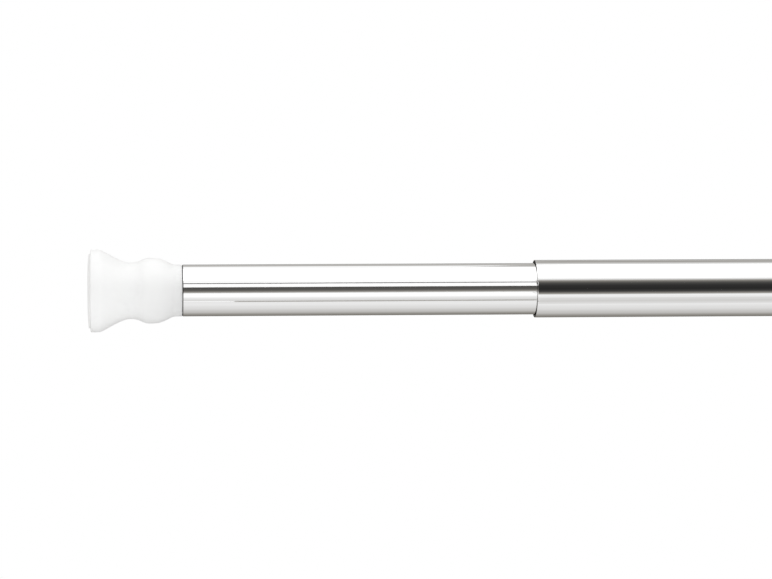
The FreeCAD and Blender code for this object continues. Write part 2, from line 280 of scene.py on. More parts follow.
def supported(rings, closed, margin=0.00015):
    """The rings with two more in every long straight run.

    They stand a margin from its ends, so that the rounds beside the run don't bend its shading.
    """
    made = []
    pairs = list(zip(rings, rings[1:]))
    if closed:
        pairs.append((rings[-1], rings[0]))
    for first, second in pairs:
        made.append(first)
        if callable(first[1]) or callable(second[1]):
            continue
        run = (Vector(second) - Vector(first)).length
        if run > 4 * margin:
            for part in (margin / run, 1 - margin / run):
                made.append(tuple(Vector(first).lerp(Vector(second), part)))
    return made if closed else made + [rings[-1]]


def turned_mesh(name, rings, segments, closed=False):
    """A mesh of rings round the X axis.

    A ring is (along, radius), where radius may be a function of the angle. A ring of no radius is one point
    on the axis. Where closed is set, the last ring joins the first, as in a tube with its wall.
    """
    points = []
    loops = []
    for along, radius in supported(rings, closed):
        if not callable(radius) and radius < 1e-9:
            loops.append([len(points)])
            points.append((along, 0, 0))
            continue
        loop = []
        for k in range(segments):
            turn = FULL_TURN * k / segments
            r = radius(turn) if callable(radius) else radius
            loop.append(len(points))
            points.append((along, r * math.cos(turn), r * math.sin(turn)))
        loops.append(loop)
    pairs = list(zip(loops, loops[1:]))
    if closed:
        pairs.append((loops[-1], loops[0]))
    faces = []
    for first, second in pairs:
        for k in range(segments):
            n = (k + 1) % segments
            if len(first) == 1:
                faces.append((first[0], second[k], second[n]))
            elif len(second) == 1:
                faces.append((first[k], second[0], first[n]))
            else:
                faces.append((first[k], second[k], second[n], first[n]))
    return finished_mesh(name, points, faces)


def finished_mesh(name, points, faces, sharp_angle=math.radians(28)):
    """An object of these faces with its normals outwards, smooth apart from its real edges."""
    mesh = bpy.data.meshes.new(name)
    mesh.from_pydata(points, [], faces)
    work = bmesh.new()
    work.from_mesh(mesh)
    bmesh.ops.remove_doubles(work, verts=work.verts, dist=1e-8)
    bmesh.ops.recalc_face_normals(work, faces=work.faces)
    work.to_mesh(mesh)
    work.free()
    mesh.shade_smooth()
    mesh.set_sharp_from_angle(angle=sharp_angle)
    piece = bpy.data.objects.new(name, mesh)
    bpy.context.scene.collection.objects.link(piece)
    return piece


def stand_for(piece, node, body):
    """The piece rides on the body in place of the CAD node, which is hidden."""
    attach(piece, body)
    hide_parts(node)


# Finishes

class Finish:
    """A material with its principled shader, and short ways to add nodes to it."""

    def __init__(self, name):
        self.material = bpy.data.materials.new(name)
        self.material.use_nodes = True
        self.tree = self.material.node_tree
        self.shader = self.tree.nodes["Principled BSDF"]

    def node(self, kind, **values):
        """A new node of that kind, with these attributes."""
        made = self.tree.nodes.new(kind)
        for key, value in values.items():
            setattr(made, key, value)
        return made

    def join(self, output, target):
        """Links an output to an input."""
        self.tree.links.new(output, target)

    def noise(self, scale, detail=3.0, roughness=0.55):
        """Noise in the piece's own space. scale is the number of features per metre along X, Y and Z."""
        place = self.node("ShaderNodeTexCoord")
        stretch = self.node("ShaderNodeMapping", vector_type="POINT")
        stretch.inputs["Scale"].default_value = scale
        made = self.node("ShaderNodeTexNoise")
        made.inputs["Scale"].default_value = 1.0
        made.inputs["Detail"].default_value = detail
        made.inputs["Roughness"].default_value = roughness
        self.join(place.outputs["Object"], stretch.inputs["Vector"])
        self.join(stretch.outputs["Vector"], made.inputs["Vector"])
        return made.outputs["Fac"]

    def between(self, factor, first, second):
        """A colour between two, by a factor."""
        made = self.node("ShaderNodeMix", data_type="RGBA")
        made.inputs["A"].default_value = (*first, 1)
        made.inputs["B"].default_value = (*second, 1)
        self.join(factor, made.inputs["Factor"])
        return made.outputs["Result"]

    def mottle(self, factor, tint, darkest, lightest):
        """Base colour that varies with the factor from darkest to lightest, both shares of the tint."""
        mixed = self.between(factor, scaled(tint, darkest), scaled(tint, lightest))
        self.join(mixed, self.shader.inputs["Base Color"])

    def haze(self, factor, smoothest, roughest, start=0.35, end=0.65):
        """Roughness that varies from smoothest to roughest as the factor goes from start to end."""
        made = self.node("ShaderNodeMapRange")
        limits = {"From Min": start, "From Max": end, "To Min": smoothest, "To Max": roughest}
        for key, value in limits.items():
            made.inputs[key].default_value = value
        self.join(factor, made.inputs["Value"])
        self.join(made.outputs["Result"], self.shader.inputs["Roughness"])

    def blend(self, second_share, first, second):
        """Two heights laid over each other, with that share of the second."""
        made = self.node("ShaderNodeMix", data_type="FLOAT")
        made.inputs["Factor"].default_value = second_share
        self.join(first, made.inputs["A"])
        self.join(second, made.inputs["B"])
        return made.outputs["Result"]

    def raise_by(self, height, depth):
        """Bump of that height, where depth is the height of the whole range in metres."""
        made = self.node("ShaderNodeBump")
        made.inputs["Strength"].default_value = 1.0
        made.inputs["Distance"].default_value = depth
        self.join(height, made.inputs["Height"])
        self.join(made.outputs["Normal"], self.shader.inputs["Normal"])

    def set(self, **values):
        """Sets the principled shader's inputs, with _ for the spaces in their names."""
        for key, value in values.items():
            self.shader.inputs[key.replace("_", " ")].default_value = value


def scaled(tint, level):
    """The colour times that level, no brighter than 1."""
    return tuple(min(1.0, value * level) for value in tint)


def polished_chrome(tubes):
    """Chrome plate on drawn tube: fine lengthwise polishing lines, a small grain and faint hazy specks."""
    finish = Finish("polished_chrome")
    lines = finish.noise((14, 1600, 1600), detail=2)
    grain = finish.noise((420, 1000, 1000), detail=0)
    specks = finish.noise((900, 1300, 1300), detail=1)
    finish.set(Metallic=1.0)
    finish.mottle(lines, tubes.chrome, 0.97, 1.03)
    finish.haze(specks, tubes.smoothest, tubes.roughest, start=0.47, end=0.75)
    finish.raise_by(finish.blend(0.85, lines, grain), depth=tubes.grain_depth)
    return finish.material


def cut_steel(tubes):
    """The deburred cut ends of the tubes, duller than the plate."""
    finish = Finish("cut_steel_edge")
    marks = finish.noise((4000, 900, 900), detail=2)
    finish.set(Metallic=1.0)
    finish.mottle(marks, tubes.cut_edge, 0.9, 1.05)
    finish.haze(marks, 0.3, 0.45)
    return finish.material


def moulded_white(feet):
    """Satin white plastic with a faint cloudiness and the fine skin that a mould leaves."""
    finish = Finish("white_foot_plastic")
    clouds = finish.noise((70, 70, 70), detail=2)
    skin = finish.noise((2600, 2600, 2600), detail=2)
    finish.set(IOR=1.47, Subsurface_Weight=0.5, Subsurface_Scale=0.004, Subsurface_Radius=(1.0, 1.0, 1.0))
    finish.mottle(clouds, feet.plastic, 0.985, 1.012)
    finish.haze(clouds, 0.34, 0.42)
    finish.raise_by(skin, depth=0.000005)
    return finish.material


def soft_pad(feet):
    """Matt white elastomer with a fine pebbled grain."""
    finish = Finish("white_soft_pad")
    pebbles = finish.noise((1500, 1500, 1500), detail=3)
    stains = finish.noise((120, 120, 120), detail=2)
    finish.mottle(stains, feet.pad, 0.97, 1.01)
    finish.haze(pebbles, 0.58, 0.72)
    finish.raise_by(pebbles, depth=0.00002)
    return finish.material


def nylon(name, tint):
    """Moulded nylon: half matt, with faint flow marks."""
    finish = Finish(name)
    flow = finish.noise((160, 420, 420), detail=3)
    skin = finish.noise((3000, 3000, 3000), detail=2)
    finish.set(IOR=1.53)
    finish.mottle(flow, tint, 0.92, 1.06)
    finish.haze(flow, 0.4, 0.55)
    finish.raise_by(skin, depth=0.000004)
    return finish.material


def steel(name, tint, smoothest, roughest, scale):
    """Drawn or plated steel with marks along its length."""
    finish = Finish(name)
    marks = finish.noise(scale, detail=4, roughness=0.6)
    finish.set(Metallic=1.0)
    finish.mottle(marks, tint, 0.88, 1.08)
    finish.haze(marks, smoothest, roughest)
    finish.raise_by(marks, depth=0.000006)
    return finish.material


def refinish(nodes, material):
    """Gives CAD nodes, whose shape is right, a better finish."""
    for name in nodes:
        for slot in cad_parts[name].material_slots:
            slot.material = material


# Pieces

def tube_rings(tubes, start, end, outside, beads=()):
    """A tube's wall with its edges rounded, and a rolled groove at each of the beads."""
    inside = outside - tubes.wall
    r = tubes.edge_round
    groove = tubes.bead_radius
    bulge = groove + tubes.wall
    bulge_half = math.sqrt(bulge ** 2 - tubes.wall ** 2)
    outline = Outline(start + r, inside)
    outline.corner(start, inside, start, inside + r).line(start, outside - r)
    outline.corner(start, outside, start + r, outside)
    for at in beads:
        outline.dip(at, outside, groove, groove)
    outline.line(end - r, outside)
    outline.corner(end, outside, end, outside - r).line(end, inside + r)
    outline.corner(end, inside, end - r, inside)
    for at in reversed(beads):
        outline.dip(at, outside, bulge, bulge_half)
    return outline.points


def foot_outline(feet, tubes, tube_radius):
    """One foot's outline from its pad's face: flange, waist, bulge, collar, and the bore for its plug."""
    stand = LEFT_FOOT_LOW.x - LEFT_PAD_LOW.x
    foot_end = LEFT_FOOT_HIGH.x - LEFT_PAD_LOW.x
    boss_floor = LEFT_PAD_HIGH.x - LEFT_PAD_LOW.x
    bore_floor = boss_floor + feet.face_thickness
    bore = tube_radius - tubes.wall - feet.stem_step
    flange_end = stand + feet.flange_width
    waist_at = flange_end + feet.flange_to_waist
    bulge_at = waist_at + feet.waist_to_bulge
    collar_at = bulge_at + feet.bulge_to_collar
    flange = feet.flange_radius
    outline = Outline(boss_floor, 0)
    outline.line(boss_floor, feet.pad_boss_radius).line(stand, feet.pad_boss_radius)
    outline.line(stand, flange - feet.flange_round)
    outline.corner(stand, flange, stand + feet.flange_round, flange).line(flange_end, flange)
    outline.sway(waist_at, tube_radius + feet.waist_rise, leave=0.16, arrive=0.34)
    outline.sway(bulge_at, tube_radius + feet.bulge_rise, leave=0.54, arrive=0.52)
    outline.sway(collar_at, tube_radius, leave=0.58, arrive=0.26)
    outline.line(foot_end - feet.collar_round, tube_radius)
    outline.corner(foot_end, tube_radius, foot_end, tube_radius - feet.collar_round)
    return outline.line(foot_end, bore).line(bore_floor, bore).line(bore_floor, 0)


def plug_outline(feet, tubes, tube_radius):
    """One plug's outline from the pad's face: stem in the foot, thin rim, and ribbed barrel in the tube. Its
    black rim is painted shade of the gap between the collar and the tube.
    """
    stem_start = PLUG_LOW.x - LEFT_PAD_LOW.x
    foot_end = LEFT_FOOT_HIGH.x - LEFT_PAD_LOW.x
    tube_start = INNER_LOW.x - LEFT_PAD_LOW.x
    plug_end = PLUG_HIGH.x - LEFT_PAD_LOW.x
    bore = tube_radius - tubes.wall
    stem = bore - feet.stem_step
    stem_core = stem - feet.plug_wall
    rim = tube_radius - feet.rim_inset
    barrel = bore - feet.plug_clearance
    barrel_core = barrel - feet.plug_wall
    barrel_floor = tube_start + feet.plug_wall
    chamfer = feet.plug_chamfer
    outline = Outline(stem_start, stem_core)
    outline.line(stem_start, stem - chamfer).line(stem_start + chamfer, stem).line(foot_end, stem)
    # The rim shows between the foot's collar and the tube; its black there is painted shade of that gap
    outline.line(foot_end, rim).line(tube_start, rim).line(tube_start, barrel)
    rib_count = int((plug_end - tube_start - chamfer - feet.rib_width) / feet.rib_spacing + 0.5)
    for k in range(rib_count):
        rib_start = tube_start + feet.rib_spacing * (k + 0.5)
        outline.line(rib_start, barrel).line(rib_start, bore)
        outline.line(rib_start + feet.rib_width / 3, bore).line(rib_start + feet.rib_width, barrel)
    outline.line(plug_end - chamfer, barrel).line(plug_end, barrel - chamfer).line(plug_end, barrel_core)
    return outline.line(barrel_floor, barrel_core).line(barrel_floor, stem_core)


def pad_outline(feet):
    """One pad's outline from its face: flat middle, domed rim, and the boss in the foot."""
    stand = LEFT_FOOT_LOW.x - LEFT_PAD_LOW.x
    boss_end = LEFT_PAD_HIGH.x - LEFT_PAD_LOW.x
    rim = LEFT_PAD_HIGH.z
    flat = feet.pad_flat_radius
    shoulder = rim - feet.pad_round
    middle = (flat + shoulder) / 2
    outline = Outline(0, 0)
    outline.line(0, flat)
    outline.bezier((0, flat + (middle - flat) * 2 / 3), (feet.pad_dome / 3, middle + (shoulder - middle) / 3),
                   (feet.pad_dome, shoulder), steps=16)
    outline.corner(feet.pad_dome, rim, feet.pad_dome + feet.pad_round, rim).line(stand, rim)
    outline.line(stand, feet.pad_boss_radius).line(boss_end, feet.pad_boss_radius)
    return outline.line(boss_end, 0)


def spring_mesh(lock):
    """The coil between its seat and its piston, with both ends ground flat."""
    overrun = 0.9                # how far the wire runs past its ground faces, as a share of its radius
    low, high = SPRING_LOW.x, SPRING_HIGH.x
    wire = lock.wire_radius
    middle = (SPRING_HIGH.z - SPRING_LOW.z) / 2 - wire
    pitch = (high - low) / lock.coils
    ground = overrun * wire / pitch
    steps = int((lock.coils + 2 * ground) * lock.turn_steps)
    points = []
    for k in range(steps + 1):
        turns = -ground + (lock.coils + 2 * ground) * k / steps
        turn = FULL_TURN * turns
        outward = Vector((0, math.cos(turn), math.sin(turn)))
        tangent = Vector((pitch, -FULL_TURN * middle * math.sin(turn), FULL_TURN * middle * math.cos(turn)))
        across = tangent.normalized().cross(outward)
        centre = Vector((low + pitch * turns, 0, 0)) + outward * middle
        for side in range(lock.wire_sides):
            bend = FULL_TURN * side / lock.wire_sides
            point = centre + (outward * math.cos(bend) + across * math.sin(bend)) * wire
            point.x = min(max(point.x, low), high)
            points.append(point)
    sides = lock.wire_sides
    faces = [tuple(range(sides)), tuple(range(steps * sides, (steps + 1) * sides))]
    for k in range(steps):
        for side in range(sides):
            n = (side + 1) % sides
            faces.append((k * sides + side, k * sides + n, (k + 1) * sides + n, (k + 1) * sides + side))
    return finished_mesh("coil_spring", points, faces, sharp_angle=math.radians(50))


def lock_rod_rings(lock, steps_in_pitch=8):
    """The lock rod from its clip end to its threaded shank."""
    hex_start, hex_end = BUSH_LOW.x, WASHER_LOW.x
    spigot = lock.spigot_radius
    chamfer = lock.rod_chamfer
    tip = ROD_LOW.x
    groove_start = tip + lock.rod_lip
    groove_end = groove_start + lock.groove_width
    groove = spigot - lock.groove_depth
    sixth = math.pi / 3

    def hexagon(turn):
        """The hexagon's radius at that angle."""
        return lock.hexagon / 2 / math.cos(turn % sixth - sixth / 2)

    def thread(along):
        """The shank's radius at that place, as a function of the angle. The thread runs out at both ends."""
        pitch = lock.thread_lead / lock.thread_starts
        depth = lock.thread_depth * min(1.0, (along - hex_end) / pitch, (ROD_HIGH.x - along) / chamfer)

        def radius(turn):
            place = (along - hex_end) / pitch - turn * lock.thread_starts / FULL_TURN
            wave = abs(2 * (place % 1.0) - 1)
            return lock.shank_radius - depth * (1 - wave)
        return radius

    rings = [(tip, 0), (tip, spigot - chamfer), (tip + chamfer, spigot), (groove_start, spigot)]
    rings += [(groove_start, groove), (groove_end, groove), (groove_end, spigot), (hex_start, spigot)]
    rings += [(hex_start, hexagon), (hex_end, hexagon)]
    thread_end = ROD_HIGH.x - chamfer
    count = int((thread_end - hex_end) / lock.thread_lead * lock.thread_starts * steps_in_pitch)
    for k in range(count + 1):
        along = hex_end + (thread_end - hex_end) * k / count
        rings.append((along, thread(along)))
    return rings + [(ROD_HIGH.x, lock.shank_radius - chamfer), (ROD_HIGH.x, 0)]


class ROD_OT_tubes(bpy.types.Operator):
    """Makes the two chromed tubes with their cut ends"""

    bl_idname = "rod.make_tubes"
    bl_label = "Chromed tubes"

    def execute(self, context):
        tubes = context.scene.rod_tubes
        chrome = polished_chrome(tubes)
        edge = cut_steel(tubes)
        squareness = 0.4         # how much a face has to look along the rod to belong to a cut end
        beads = ((SEAT_LOW.x + SPRING_LOW.x) / 2, (BUSH_LOW.x + INNER_HIGH.x) / 2)
        made = (("inner", tube_rings(tubes, INNER_LOW.x, INNER_HIGH.x, tubes.inner_radius, beads)),
                ("outer", tube_rings(tubes, OUTER_LOW.x, OUTER_HIGH.x, tubes.outer_radius)))
        for which, rings in made:
            piece = turned_mesh(f"chromed_{which}_tube", rings, tubes.segments, closed=True)
            piece.data.materials.append(chrome)
            piece.data.materials.append(edge)
            ends = (rings[0][0], max(along for along, radius in rings) - tubes.edge_round)
            for face in piece.data.polygons:
                at_end = face.center.x < ends[0] or face.center.x > ends[1]
                face.material_index = int(at_end and abs(face.normal.x) > squareness)
            stand_for(piece, f"{which}_tube", f"{which}_tube")
        return {"FINISHED"}


class ROD_OT_feet(bpy.types.Operator):
    """Makes the moulded feet with their soft pads and their plugs"""

    bl_idname = "rod.make_feet"
    bl_label = "Feet, pads and plugs"

    def execute(self, context):
        feet = context.scene.rod_feet
        tubes = context.scene.rod_tubes
        plastic = moulded_white(feet)
        rubber = soft_pad(feet)
        # Black plugs: their rims draw the dark ring between each collar and its tube, painted shade of that
        # gap
        dark = nylon("plug_nylon_painted_gap_shade", context.scene.rod_lock.black_nylon)
        ends = (("left", LEFT_PAD_LOW.x, 1, tubes.inner_radius, "inner_tube"),
                ("right", RIGHT_PAD_HIGH.x, -1, tubes.outer_radius, "outer_tube"))
        for side, face, way, tube_radius, body in ends:
            foot_points = foot_outline(feet, tubes, tube_radius).placed(face, way)
            foot = turned_mesh(f"moulded_{side}_foot", foot_points, feet.segments)
            foot.data.materials.append(plastic)
            stand_for(foot, f"{side}_foot", body)
            pad = turned_mesh(f"soft_{side}_pad", pad_outline(feet).placed(face, way), feet.segments)
            pad.data.materials.append(rubber)
            stand_for(pad, f"{side}_foot_pad", body)
            plug_points = plug_outline(feet, tubes, tube_radius).placed(face, way)
            plug = turned_mesh(f"ribbed_{side}_plug", plug_points, feet.segments, closed=True)
            plug.data.materials.append(dark)
            stand_for(plug, f"{side}_end_plug", body)
        return {"FINISHED"}


class ROD_OT_spring(bpy.types.Operator):
    """Makes the spring, with a mesh of its own, and finishes the piston's clip"""

    bl_idname = "rod.make_spring"
    bl_label = "Spring"

    def execute(self, context):
        lock = context.scene.rod_lock
        coil = spring_mesh(lock)
        coil.data.materials.append(steel("spring_steel", lock.spring_steel, 0.3, 0.5, (900, 900, 900)))
        stand_for(coil, "tension_spring", "inner_tube")
        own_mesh(coil)
        refinish(["piston_clip"], coil.data.materials[0])
        return {"FINISHED"}


class ROD_OT_lock(bpy.types.Operator):
    """Makes the threaded lock rod, and finishes its washers and nut"""

    bl_idname = "rod.make_lock"
    bl_label = "Lock rod"

    def execute(self, context):
        lock = context.scene.rod_lock
        zinc = steel("zinc_steel", lock.zinc, 0.22, 0.4, (150, 1600, 1600))
        rod = turned_mesh("threaded_lock_rod", lock_rod_rings(lock), lock.rod_segments)
        rod.data.materials.append(zinc)
        stand_for(rod, "lock_rod", "lock_rod")
        refinish(["thrust_washer", "stop_washer", "stop_nut"], zinc)
        return {"FINISHED"}


class ROD_OT_bushes(bpy.types.Operator):
    """Finishes the bushes, the spring's seat and piston, and the lock's sleeve and cone"""

    bl_idname = "rod.finish_bushes"
    bl_label = "Nylon pieces"

    def execute(self, context):
        lock = context.scene.rod_lock
        refinish(["guide_bush", "spring_seat", "spring_piston", "expander_sleeve"],
                 nylon("natural_nylon", lock.natural_nylon))
        refinish(["mouth_bush", "wedge_cone"], nylon("black_nylon", lock.black_nylon))
        return {"FINISHED"}


# Studio

def seen_by_camera_and_gloss(tree):
    """1 on rays from the camera, a mirror or glass, and 0 on the rays that light things."""
    path = tree.nodes.new("ShaderNodeLightPath")
    first = tree.nodes.new("ShaderNodeMath")
    first.operation = "MAXIMUM"
    second = tree.nodes.new("ShaderNodeMath")
    second.operation = "MAXIMUM"
    tree.links.new(path.outputs["Is Camera Ray"], first.inputs[0])
    tree.links.new(path.outputs["Is Glossy Ray"], first.inputs[1])
    tree.links.new(first.outputs["Value"], second.inputs[0])
    tree.links.new(path.outputs["Is Transmission Ray"], second.inputs[1])
    return second.outputs["Value"]


def white_room(stage):
    """A white world, at strength 1 where it is seen and at the ambient level where it lights."""
    world = bpy.data.worlds.new("white_room")
    world.use_nodes = True
    bpy.context.scene.world = world
    tree = world.node_tree
    tree.nodes.clear()
    lighting = tree.nodes.new("ShaderNodeBackground")
    lighting.inputs["Color"].default_value = (1, 1, 1, 1)
    lighting.inputs["Strength"].default_value = stage.ambient
    shown = tree.nodes.new("ShaderNodeBackground")
    shown.inputs["Color"].default_value = (1, 1, 1, 1)
    shown.inputs["Strength"].default_value = 1.0
    mix = tree.nodes.new("ShaderNodeMixShader")
    output = tree.nodes.new("ShaderNodeOutputWorld")
    tree.links.new(seen_by_camera_and_gloss(tree), mix.inputs["Fac"])
    tree.links.new(lighting.outputs["Background"], mix.inputs[1])
    tree.links.new(shown.outputs["Background"], mix.inputs[2])
    tree.links.new(mix.outputs["Shader"], output.inputs["Surface"])


def rectangle(name, corners):
    """A flat stage piece with these four corners."""
    mesh = bpy.data.meshes.new(name)
    mesh.from_pydata(corners, [], [(0, 1, 2, 3)])
    piece = bpy.data.objects.new(name, mesh)
    bpy.context.scene.collection.objects.link(piece)
    return piece


def white_floor(stage, middle):
    """A white floor that keeps the rod's shadow and turns into the white room further out.

    Its glow is only looked at, so it takes no light samples.
    """
    reach = 8.0                  # half the floor's side
    narrowing = 0.45             # width of the shadow's pool, as a share of its length along the rod
    pool, fade = 0.12, 0.36      # half widths of the pool and of its fading edge
    drop = -stage.floor_drop
    corners = [(middle + x * reach, y * reach, drop) for x, y in ((-1, -1), (1, -1), (1, 1), (-1, 1))]
    floor = rectangle("white_floor", corners)
    finish = Finish("white_floor")
    finish.set(Roughness=0.9, Specular_IOR_Level=0.1)
    tree = finish.tree
    seen = seen_by_camera_and_gloss(tree)
    finish.join(finish.between(seen, stage.floor_bounce, stage.floor), finish.shader.inputs["Base Color"])
    place = finish.node("ShaderNodeTexCoord")
    squeeze = finish.node("ShaderNodeMapping", vector_type="POINT")
    squeeze.inputs["Location"].default_value = (-middle * narrowing, 0, 0)
    squeeze.inputs["Scale"].default_value = (narrowing, 1, 0)
    finish.join(place.outputs["Object"], squeeze.inputs["Vector"])
    away = finish.node("ShaderNodeVectorMath", operation="LENGTH")
    finish.join(squeeze.outputs["Vector"], away.inputs[0])
    far = finish.node("ShaderNodeMapRange", interpolation_type="SMOOTHSTEP")
    far.inputs["From Min"].default_value = pool
    far.inputs["From Max"].default_value = fade
    finish.join(away.outputs["Value"], far.inputs["Value"])
    both = finish.node("ShaderNodeMath", operation="MULTIPLY")
    finish.join(seen, both.inputs[0])
    finish.join(far.outputs["Result"], both.inputs[1])
    glow = finish.node("ShaderNodeEmission")
    glow.inputs["Strength"].default_value = 1.0
    mix = finish.node("ShaderNodeMixShader")
    finish.join(both.outputs["Value"], mix.inputs["Fac"])
    finish.join(finish.shader.outputs["BSDF"], mix.inputs[1])
    finish.join(glow.outputs["Emission"], mix.inputs[2])
    finish.join(mix.outputs["Shader"], tree.nodes["Material Output"].inputs["Surface"])
    finish.material.cycles.emission_sampling = "NONE"
    floor.data.materials.append(finish.material)


def tone(level):
    """A grey of that level for the painted reflections, with a brown tinge in the middle greys."""
    tinge = 0.23                 # share of its blue that a grey may lose
    whole_from = 0.2             # level from which the tinge is whole
    green_loss = 0.37            # how much of that share its green loses
    brown = tinge * max(0.0, 1 - level) ** 2 * min(1.0, level / whole_from)
    return (level, level * (1 - green_loss * brown), level * (1 - brown), 1)


def painted_reflection_card(name, corners, stops, axis):
    """A glowing card that only shows in polished metal, where it paints a reflection.

    stops are (metres along the axis, level) in rising order. The card takes no light samples, because it
    lights nothing.
    """
    card = rectangle(name, corners)
    for kind in ("camera", "diffuse", "transmission", "volume_scatter", "shadow"):
        setattr(card, f"visible_{kind}", False)
    material = bpy.data.materials.new(name)
    material.use_nodes = True
    material.cycles.emission_sampling = "NONE"
    tree = material.node_tree
    tree.nodes.clear()
    place = tree.nodes.new("ShaderNodeTexCoord")
    parts = tree.nodes.new("ShaderNodeSeparateXYZ")
    ramp = tree.nodes.new("ShaderNodeValToRGB")
    elements = ramp.color_ramp.elements
    elements.remove(elements[1])
    low, high = stops[0][0], stops[-1][0]
    for k, (at, level) in enumerate(stops):
        element = elements[0] if k == 0 else elements.new(1.0)
        element.position = (at - low) / (high - low)
        element.color = tone(level)
    glow = tree.nodes.new("ShaderNodeEmission")
    output = tree.nodes.new("ShaderNodeOutputMaterial")
    tree.links.new(place.outputs["Generated"], parts.inputs["Vector"])
    tree.links.new(parts.outputs[axis], ramp.inputs["Fac"])
    tree.links.new(ramp.outputs["Color"], glow.inputs["Color"])
    tree.links.new(glow.outputs["Emission"], output.inputs["Surface"])
    card.data.materials.append(material)


def standing_card(name, first, second, stops):
    """A painted reflection card that stands on the line between two points (x, y). Its stops are heights."""
    low, high = stops[0][0], stops[-1][0]
    painted_reflection_card(name, [(*first, low), (*second, low), (*second, high), (*first, high)], stops, "Z")


def upright_card(name, y, left, right, stops):
    """A standing card along X, from left to right at that Y."""
    standing_card(name, (left, y), (right, y), stops)


def flat_card(name, z, left, right, stops):
    """A lying painted reflection card. Its stops are places along Y, and left and right give its edges at a
    Y.
    """
    near, far = stops[0][0], stops[-1][0]
    corners = [(left(near), near, z), (right(near), near, z), (right(far), far, z), (left(far), far, z)]
    painted_reflection_card(name, corners, stops, "Y")


def studio_cards(stage, middle):
    """Glowing cards round the rod that only its chrome sees: dark flags, grey screens and white strips that
    paint its reflected bands and highlights.
    """
    side = 3.0                   # how far the long cards reach to both sides
    flag_y, wing_y, screen_y, back_y = -0.03, -0.45, -1.05, 1.06
    flag_inset = 0.0001          # keeps the flag from showing in the inner tube
    screen_overlap = 0.12        # how far the front screen runs on behind the flag
    wing_gap = 0.05              # between the wings and what the camera sees mirrored
    split_reach = 1.25 * back_y  # way of the light from the tubes up to the back cards
    flag_gap = 0.01              # between the back flag and the cards behind it
    end_distance, end_reach = 2.6, 1.0
    table_z = 0.002 - stage.floor_drop
    line_z = table_z + 0.001
    dusk_start = middle + 0.25
    gleam = 0.048                # where the gleam on the inner tube ends, right of the camera
    here = INNER_LOW.x - stage.stand
    mouth = OUTER_LOW.x - here

    def seen_at(along, reach):
        """Where the tube at that distance right of the camera mirrors something that far away."""
        return here + along * (1 + reach / stage.distance)

    def straight(x):
        """A lying card's edge along Y, at that X."""
        return lambda y: x

    def mirrored(along, radius):
        """A lying card's edge that a tube of that radius mirrors at that distance right of the camera."""
        return lambda y: seen_at(along, math.hypot(y, stage.floor_drop) - radius)

    left_side, right_side, dusk_edge = straight(-side), straight(side), straight(dusk_start)
    mouth_edge = mirrored(mouth, OUTER_HIGH.z)
    gleam_edge = mirrored(gleam, 0)

    upright_card("front_screen", screen_y, -side, seen_at(mouth, -screen_y) + screen_overlap, [
        (-0.165, 0.62), (-0.08, 0.3), (0.003, 0.15), (0.084, 0.095), (0.318, 0.075), (0.33, 1.06),
        (0.657, 1.06), (0.669, 0.06), (0.75, 0.06), (0.762, 1.06), (0.95, 1.06)])
    flag_start = seen_at(mouth, -flag_y - OUTER_HIGH.z) + flag_inset
    upright_card("tall_flag", flag_y, flag_start, OUTER_HIGH.x, [
        (-0.0082, 0.87), (-0.0066, 0.34), (-0.005, 0.22), (-0.0036, 0.095), (-0.0021, 0.044), (0.0012, 0.022),
        (0.0068, 0.03), (0.0105, 0.06), (0.0125, 0.1), (0.0147, 0.18), (0.0171, 0.34), (0.0197, 0.74),
        (0.0228, 0.96)])
    wing_stops = [
        (-0.16, 0.85), (-0.1, 0.2), (-0.04, 0.04), (0.13, 0.03), (0.25, 0.1), (0.33, 0.34), (0.43, 0.96)]
    upright_card("left_wing", wing_y, -side, LEFT_PAD_LOW.x - wing_gap, wing_stops)
    upright_card("right_wing", wing_y, seen_at(mouth, -wing_y) + wing_gap, side, wing_stops)
    back_split = seen_at(mouth, split_reach)
    upright_card("back_screen", back_y, -side, back_split, [
        (0.3, 0.66), (0.55, 0.47), (0.95, 0.5), (1.15, 0.95), (1.3, 1.06)])
    upright_card("back_shade", back_y, back_split, side, [
        (0.3, 0.62), (0.6, 0.45), (0.9, 0.34), (1.3, 0.55), (1.7, 0.74), (2.3, 0.95)])
    upright_card("back_flag", back_y - flag_gap, -side, side, [
        (table_z, 0.21), (-0.13, 0.22), (0.03, 0.09), (0.28, 0.09), (0.3, 0.4)])
    for end, away in (("left", -end_distance), ("right", end_distance)):
        standing_card(f"{end}_screen", (middle + away, -end_reach), (middle + away, end_reach), [
            (table_z, 0.45), (0.0, 0.8), (0.1, 1.0), (0.28, 1.0), (0.36, 0.2), (0.55, 0.08), (0.8, 0.12),
            (1.0, 0.5)])
    flat_card("front_shine", table_z, left_side, mouth_edge, [(-1.04, 1.06), (-0.42, 1.06), (-0.36, 0.93)])
    flat_card("front_table", table_z, mouth_edge, right_side, [
        (-1.3, 0.2), (-0.8, 0.2), (-0.62, 0.85), (-0.44, 0.93), (-0.36, 0.84)])
    # Painted reflection of a pale table, darker beneath and behind the rod: painted shade of the rod on that
    # table
    flat_card("painted_table_with_rod_shade", table_z, left_side, right_side, [
        (-0.36, 0.92), (-0.319, 0.85), (-0.267, 0.78), (-0.225, 0.71), (-0.17, 0.84), (-0.11, 0.86),
        (-0.05, 0.77), (-0.02, 0.74), (0.002, 0.67), (0.026, 0.61), (0.08, 0.52), (0.107, 0.42), (0.15, 0.32),
        (0.22, 0.245), (0.4, 0.195), (1.04, 0.17)])
    flat_card("table_gleam", line_z, left_side, gleam_edge, [(-0.203, 1.06), (-0.187, 1.06)])
    flat_card("table_line", line_z, gleam_edge, mouth_edge, [(-0.204, 0.42), (-0.17, 0.42)])
    flat_card("faint_line", line_z, mouth_edge, right_side, [
        (-0.33, 0.8), (-0.27, 0.71), (-0.22, 0.69), (-0.195, 0.64), (-0.165, 0.69), (-0.12, 0.78)])
    flat_card("front_dusk", line_z, dusk_edge, right_side, [(-1.3, 0.22), (-0.4, 0.25)])


